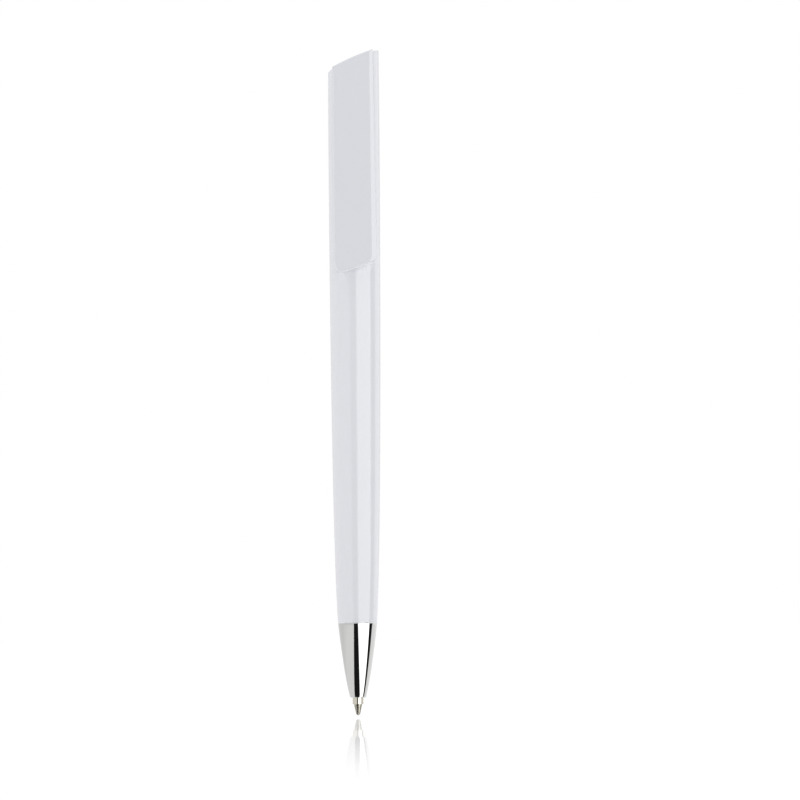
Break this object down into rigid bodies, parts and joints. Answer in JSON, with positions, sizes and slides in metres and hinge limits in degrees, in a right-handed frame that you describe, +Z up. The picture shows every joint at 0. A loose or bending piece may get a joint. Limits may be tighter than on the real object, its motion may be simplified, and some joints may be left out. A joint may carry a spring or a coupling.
{
  "type": "slide-clip ballpoint pen",
  "caption": "Retractable ballpoint pen with a round tapered barrel, slanted top, chromed nose and a sliding clip that works the point.",
  "frame": {"origin": "under the writing ball's lowest point, in the middle of the footprint; the pen's own axis runs up at x 0, y 0.00104 m", "axes": "+Z up along the pen from the point to the top, -Y out of the clip's face, +X towards the high side of the slanted top"},
  "size_m": [0.0108, 0.013, 0.14],
  "materials": {
    "white_plastic": "gloss moulded white plastic",
    "chrome": "bright chrome plating",
    "brass": "turned brass",
    "steel": "bright drawn steel",
    "natural_plastic": "unpigmented plastic",
    "blue_ink": "dark blue ink",
    "grease": "yellowish sealing grease"
  },
  "bodies": {
    "casing": {"barrel": "white_plastic", "top_cap": "white_plastic", "guide_sleeve": "natural_plastic", "nose_cone": "chrome", "return_spring": "steel"},
    "carrier": {"slider": "natural_plastic"},
    "clip": {"clip": "white_plastic"},
    "refill": {"refill_tube": "natural_plastic", "ink": "blue_ink", "ink_follower": "grease", "writing_point": "brass", "writing_ball": "steel"},
    "rotor": {"cam_rotor": "natural_plastic"}
  },
  "joints": [
    {"name": "push_slide", "type": "slide", "parent": "casing", "child": "carrier", "axis": [0, 0, 1], "range_m": [0, 0.0043]},
    {"name": "clip_flex", "type": "hinge", "parent": "carrier", "child": "clip", "pos_m": [0, -0.00316, 0.13075], "axis": [-1, 0, 0], "range_deg": [0, 4], "stiffness_Nm_per_rad": 0.8},
    {"name": "refill_slide", "type": "slide", "parent": "casing", "child": "refill", "axis": [0, 0, 1], "range_m": [0, 0.0043], "deforming": ["return_spring"]},
    {"name": "cam_spin", "type": "hinge", "parent": "refill", "child": "rotor", "pos_m": [0, 0.00104, 0.109], "axis": [0, 0, 1], "range_deg": [0, 45]}
  ],
  "couplings": [
    {"joint": "refill_slide", "follows": "push_slide", "ratio": 1},
    {"joint": "cam_spin", "follows": "push_slide", "rad_per_m": 182.65}
  ]
}
